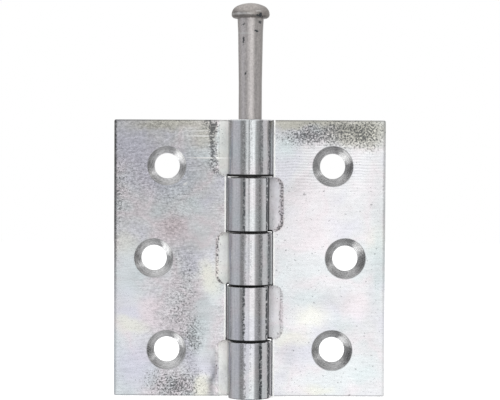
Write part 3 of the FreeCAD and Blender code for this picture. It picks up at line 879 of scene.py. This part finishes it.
def pin_profile():
    """Half-section of the pin, from its tip's centre round to its crown's centre, in millimetres.

    The shank is parallel, then swells in two straight steps to the neck. The underside of the head
    runs out to a quarter-round lip, and stays a hair off the barrel when the pin is home. The
    shoulder's arc leaves the lip straight up and runs into the crown's, centred on the axis.
    """
    (_, _, tip), (head, _, top) = (np.array(corner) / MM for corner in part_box("hinge_pin"))
    shank, swell, neck, chamfer, lip = 2.5, 2.67, 2.825, 0.8, 0.8
    head_height, taper_length, neck_length, seat_gap = 3.3, 14.0, 3.0, 0.01
    crown_radius = 7.0
    underside = top - head_height + seat_gap
    straight = np.array([(0.0, tip), (shank - chamfer, tip), (shank, tip + chamfer)])
    height = np.linspace(underside - taper_length, underside, 29)
    taper = np.interp(
        height - underside, (-taper_length, -neck_length, 0.0), (shank, swell, neck)
    )
    level = underside + lip
    drop = level - (top - crown_radius)
    shoulder = (crown_radius ** 2 - head ** 2 - drop ** 2) / (2 * (crown_radius - head))
    lean = math.atan2(drop, head - shoulder)
    arcs = (
        (head - lip, level, lip, np.linspace(-math.pi / 2, 0.0, 9)),
        (head - shoulder, level, shoulder, np.linspace(0.0, lean, 13)[1:]),
        (0.0, top - crown_radius, crown_radius, np.linspace(lean, math.pi / 2, 17)[1:-1]),
    )
    round_head = [
        np.stack([across + radius * np.cos(angle), above + radius * np.sin(angle)], axis=1)
        for across, above, radius, angle in arcs
    ]
    return np.concatenate([straight, np.stack([taper, height], axis=1), *round_head, [(0.0, top)]])


def turned_mesh(name, profile, sides):
    """A profile in millimetres carried round Z: x = r cos a and y = r sin a.

    Its last point is a pole of one vertex. So is its first one, unless it lies off the axis: then
    the foot stays open.
    """
    has_foot = profile[0, 0] == 0
    radius, height = profile[int(has_foot):-1].T
    around = np.arange(sides)
    following = (around + 1) % sides
    angle = around * (2 * math.pi / sides)
    level = np.tile(height[:, None], sides)
    rings = np.stack(
        [np.outer(radius, np.cos(angle)), np.outer(radius, np.sin(angle)), level], axis=-1
    ).reshape(-1, 3)
    first = np.arange(len(radius) - 1)[:, None] * sides
    quads = np.stack(
        [first + around, first + following, first + sides + following, first + sides + around],
        axis=-1,
    ).reshape(-1, 4)
    pole = np.full(sides, len(rings))
    last = len(rings) - sides
    points = [rings, [(0, 0, profile[-1, 1])]]
    faces = quads.tolist() + np.stack([last + around, last + following, pole], axis=-1).tolist()
    if has_foot:
        points.append([(0, 0, profile[0, 1])])
        faces += np.stack([following, around, pole + 1], axis=-1).tolist()
    mesh = bpy.data.meshes.new(name)
    mesh.from_pydata((np.concatenate(points) * MM).tolist(), [], faces)
    return mesh


# Stains on the front of the pin, marks like those on a leaf.
PIN_STAINS = [
    (1.9, 82.15, 1.3, 0.45, 1.3, 5), (2.1, 82.6, 0.5, 0.4, 1.1), (1.5, 83.5, 0.8, 0.25, 0.7),
    (-3.2, 83, 1.1, 0.2, 0.9, -5), (1.9, 80.9, 1, 0.7, 1, 30), (1.2, 79, 0.9, 0.4, 1.3, 20),
    (-1.5, 80.4, 1, 1.6, 0.7), (-1.5, 77, 0.45, 2.4, 1), (-1, 69.8, 0.6, 1.6, 0.8, 20),
    (1.6, 62, 0.5, 0.4, 0.5),
]
PIN_STREAKS, PIN_STRETCH = (1.5, 4.0, 0.65), (0.11, 0.10)
PIN_GRAIN = (2.0, 3.0, 0.75)
PIN_SMOOTH_ANGLE = math.radians(35)
HEAD_UNDERSIDE, HEAD_BLEND = 81.8, (-0.2, 0.2)
PIN_TONE, STREAK_SHARE, HEAD_GRAIN, DUST_SHARE = 0.25, 0.5, 1.1, 0.3
STAIN_SPREAD, DULL_STAIN, ROUGH_STAIN, ROUGH_PIN_GRAIN = 0.5, 0.5, 0.2, 0.2
DEEP_PIN_GRAIN, DEEP_PIN_STREAKS = 0.004, 0.003     # millimetres
HEAD_SHADE, HEAD_DUST = (0.66, 0.64, 0.62), (0.45, 0.43, 0.41)
WORN_STEEL_AND_HIGHLIGHT = (0.80, 0.79, 0.77)
# Bright marks, partly wear and partly painted highlights: the bruised lip, the ring where the neck
# begins, and a cheek of the head. Heights are above the head's underside. Half the height of each,
# and its right-hand end, lie between two limits, from full to none.
LIP_HEIGHT, LIP_HALF, LIP_END = 0.82, (0.08, 0.28), (-1.0, 1.0)
RING_HEIGHT, RING_HALF, RING_END = -3.3, (0.08, 0.26), (-0.4, 0.4)
CHEEK, CHEEK_RIM = (1.8, 83.15, 0.9, 0.25, 0.7), (0.0, 0.6)
WEAR_AND_HIGHLIGHT, WEAR_BREAKS = 0.9, (0.35, 0.55, 0.5, 1.0)
# Painted shade on the right side of the pin.
PAINTED_SHADE_SIDE = (10.0, 60.0, 1.0, 0.64)    # degrees to the right of the front, and brightness
STAIN_RANGE = (0.72, 0.90)


def pin_steel(name, finish):
    """Dull cold-headed steel with faint drawing lines, a few stains, painted shade on its right
    side, and bright marks on the lip, the neck ring and the head, partly wear and partly painted
    highlights.
    """
    material = bpy.data.materials.new(name)
    net = Net(material)
    place = net.object_place()
    x, y, z = net.apart(place)
    turned = net.round_z(x, y)
    above = z - HEAD_UNDERSIDE
    front = y < 0
    across, up = PIN_STRETCH
    streaks = net.noise(net.vector(turned * across, z * up, 0.0), *PIN_STREAKS)
    grain = net.noise(place, *PIN_GRAIN)
    head = net.step(above, *HEAD_BLEND)
    tone = PIN_TONE + STREAK_SHARE * streaks + grain + net.swing(grain, HEAD_GRAIN * head)
    # The right side of the pin is made darker: painted shade.
    colour = net.shaded(finish.pin_steel, tone * net.step(turned, *PAINTED_SHADE_SIDE))
    dull = net.mix(DUST_SHARE, net.mix(1.0, colour, HEAD_SHADE, "MULTIPLY"), HEAD_DUST)
    colour = net.mix(head, colour, dull)

    lip = WEAR_AND_HIGHLIGHT * net.fade(abs(above - LIP_HEIGHT), *LIP_HALF) * net.fade(x, *LIP_END)
    ring = WEAR_AND_HIGHLIGHT * net.fade(abs(above - RING_HEIGHT), *RING_HALF) * net.fade(x, *RING_END)
    cheek = net.spot(place, CHEEK, CHEEK_RIM)
    worn_and_highlight = net.most(ring, lip, cheek) * front * net.step(grain, *WEAR_BREAKS)
    soot = grain + STAIN_SPREAD * net.marked(place, PIN_STAINS)
    soot = net.step(soot, *STAIN_RANGE) * front
    # Bright marks on the lip, the neck ring and the head: partly wear, partly painted highlights.
    colour = net.mix(worn_and_highlight, colour, WORN_STEEL_AND_HIGHLIGHT)
    colour = net.mix(soot, colour, finish.soot)
    rough = finish.pin_roughness + net.swing(grain, ROUGH_PIN_GRAIN) + ROUGH_STAIN * soot
    net.surface(net.swing(grain, DEEP_PIN_GRAIN) + net.swing(streaks, DEEP_PIN_STREAKS), {
        "Base Color": colour,
        "Metallic": 1 - DULL_STAIN * soot,
        "Roughness": rough,
    })
    return material


class HINGE_OT_pin(Operator):
    """Makes the loose pin with its button head."""

    bl_idname = "hinge.make_pin"
    bl_label = "Make pin"

    def execute(self, context):
        sizes = context.scene.hinge_sizes
        mesh = turned_mesh("hinge_pin_steel", pin_profile(), sizes.pin_sides)
        material = pin_steel("hinge_pin_steel", context.scene.hinge_finish)
        add_piece("hinge_pin_steel", mesh, material, "hinge_pin", "hinge_pin")
        mesh.shade_smooth()
        mesh.set_sharp_from_angle(angle=PIN_SMOOTH_ANGLE)
        return {"FINISHED"}


# What the steel mirrors round the horizon: degrees from the camera's side, positive to the right,
# brightness, and warmth from blue at -1 to yellow at 1.
SURROUND = [
    (-180, 0.8, 0), (-160, 0.42, 0), (-125, 0.36, 0), (-108, 0.4, 0),
    (-92, 0.6, -0.6), (-56, 0.57, -0.7), (-44, 0.3, 0), (-24, 0.24, 0),
    (-18, 0.9, 0), (-8, 0.88, 0), (-6, 0.36, 0), (-1, 0.36, 0),
    (1, 1.15, 0), (23, 1.15, 0), (31, 0.48, 0), (47, 0.34, 0),
    (54, 0.14, 0), (59, 0.32, 0), (66, 0.48, 0), (76, 0.72, -0.1),
    (95, 0.68, 0), (115, 0.6, 0.2), (180, 0.8, 0),
]
WARMTH = np.array([0.03, 0.01, -0.07])  # what full warmth adds to red, green and blue
# What it mirrors besides: colours, and the heights of the view between which they set in.
WHITE = (1.0, 1.0, 1.0)
CEILING, CEILING_RISE = (0.95, 0.95, 0.96), (0.30, 0.75)
GROUND, GROUND_FALL = (0.30, 0.30, 0.31), (-0.65, -0.25)
WINDOW, WINDOW_FALL, WINDOW_SPAN = (0.93, 0.93, 0.96), (-0.11, -0.02), (-30.0, -25.0, -1.0, 1.0)
FLOOR_GLOW = 0.34

# Softboxes: where each stands, its width in metres, and its power in watts.
LAMP_AIM = (0.0, 0.0, 0.03)
LAMPS = {
    "softbox_left": ((-0.7, -0.5, 1.0), 0.6, 6.0),
    "softbox_right": ((0.55, -0.35, 0.42), 0.22, 1.6),
    "softbox_front": ((-0.2, -0.9, 0.35), 0.3, 1.9),
}


def floor_mesh(radius, sides=96, rings=6):
    """A flat disc at height 0, on rings of even spacing."""
    profile = np.stack([np.linspace(radius / MM, 0.0, rings + 1), np.zeros(rings + 1)], axis=1)
    return turned_mesh("floor", profile, sides)


def floor_finish(studio):
    """Pale paper. To the camera, to metal and to glass it adds light of its own, up to white."""
    material = bpy.data.materials.new("pale_floor")
    net = Net(material)
    seen, _ = net.seen()
    matt = net.node("BsdfDiffuse", None, {"Color": (*studio.floor_colour, 1.0)})
    glow = net.node("Emission", None, {"Color": (*WHITE, 1.0), "Strength": FLOOR_GLOW * seen})
    both = net.node("AddShader", None, {0: matt, 1: glow})
    net.node("OutputMaterial", None, {"Surface": both})
    return material


def light_surround(studio):
    """A white room. Metal mirrors it with the soft dark cards that stand round the hinge."""
    world = bpy.data.worlds.new("studio")
    bpy.context.scene.world = world
    net = Net(world)
    seen, glossy = net.seen()
    x, y, z = net.apart(net.node("TexCoord", output="Generated"))
    turned = net.round_z(x, y)
    stops = [
        (degrees, tuple(brightness * (1 + warmth * WARMTH)))
        for degrees, brightness, warmth in SURROUND
    ]
    window = net.fade(z, *WINDOW_FALL) * net.band(turned, *WINDOW_SPAN)
    mirrored = net.mix(window, around_ramp(net, turned, stops), WINDOW)
    mirrored = net.mix(net.step(z, *CEILING_RISE), mirrored, CEILING)
    mirrored = net.mix(net.fade(z, *GROUND_FALL), mirrored, GROUND)
    colour = net.mix(seen, (studio.fill,) * 3, net.mix(glossy, WHITE, mirrored))
    back = net.node("Background", None, {"Color": colour, "Strength": 1.0})
    net.node("OutputWorld", None, {"Surface": back})


def add_lamp(name, place, size, power):
    """A square softbox that faces the hinge, seen neither by the camera nor in the metal."""
    lamp = bpy.data.lights.new(name, "AREA")
    lamp.shape = "SQUARE"
    lamp.size = size
    lamp.energy = power
    holder = bpy.data.objects.new(name, lamp)
    bpy.context.collection.objects.link(holder)
    holder.location = place
    holder.rotation_mode = "QUATERNION"
    holder.rotation_quaternion = (Vector(place) - Vector(LAMP_AIM)).to_track_quat("Z", "Y")
    holder.visible_glossy = False
    holder.visible_camera = False


def set_camera(studio):
    """Stands the camera in front of the hinge and turns it to the aim."""
    data = bpy.data.cameras.new("camera")
    data.lens = studio.lens
    data.sensor_width = 36.0
    data.clip_start = 0.01
    camera = bpy.data.objects.new("camera", data)
    bpy.context.collection.objects.link(camera)
    drop = math.atan2(studio.camera_height - studio.aim_height, studio.camera_distance)
    camera.location = (0.0, -studio.camera_distance, studio.camera_height)
    camera.rotation_euler = (math.pi / 2 - drop, -studio.roll, 0.0)
    bpy.context.scene.camera = camera


class HINGE_OT_stage(Operator):
    """Lays the floor, lights the room and sets the camera."""

    bl_idname = "hinge.set_stage"
    bl_label = "Set stage"

    def execute(self, context):
        studio = context.scene.hinge_studio
        floor = bpy.data.objects.new("floor", floor_mesh(studio.floor_radius))
        floor.data.materials.append(floor_finish(studio))
        context.collection.objects.link(floor)
        floor.visible_glossy = False
        light_surround(studio)
        for name, (place, size, power) in LAMPS.items():
            add_lamp(name, place, size, power)
        set_camera(studio)
        context.scene.view_settings.view_transform = "Standard"
        return {"FINISHED"}


class HINGE_PT_parts(Panel):
    """Sizes, finishes and the buttons that make each piece."""

    bl_label = "Loose Pin Hinge"
    bl_idname = "HINGE_PT_parts"
    bl_space_type = "VIEW_3D"
    bl_region_type = "UI"
    bl_category = "Hinge"

    def draw(self, context):
        for group_name in GROUPS:
            group = getattr(context.scene, group_name)
            box = self.layout.box()
            box.label(text=group_name.removeprefix("hinge_").title())
            for name in group.__annotations__:
                box.prop(group, name)
        for operator in OPERATORS:
            self.layout.operator(operator.bl_idname)


GROUPS = {"hinge_sizes": HingeSizes, "hinge_finish": HingeFinish, "hinge_studio": HingeStudio}
OPERATORS = (HINGE_OT_leaves, HINGE_OT_pin, HINGE_OT_stage)


def register():
    for kind in (*GROUPS.values(), *OPERATORS, HINGE_PT_parts):
        bpy.utils.register_class(kind)
    for name, group in GROUPS.items():
        setattr(bpy.types.Scene, name, PointerProperty(type=group))


def unregister():
    for name in GROUPS:
        delattr(bpy.types.Scene, name)
    for kind in reversed((*GROUPS.values(), *OPERATORS, HINGE_PT_parts)):
        bpy.utils.unregister_class(kind)


def main():
    register()
    bpy.ops.hinge.make_leaves()
    bpy.ops.hinge.make_pin()
    bpy.ops.hinge.set_stage()


if __name__ == "__main__":
    main()
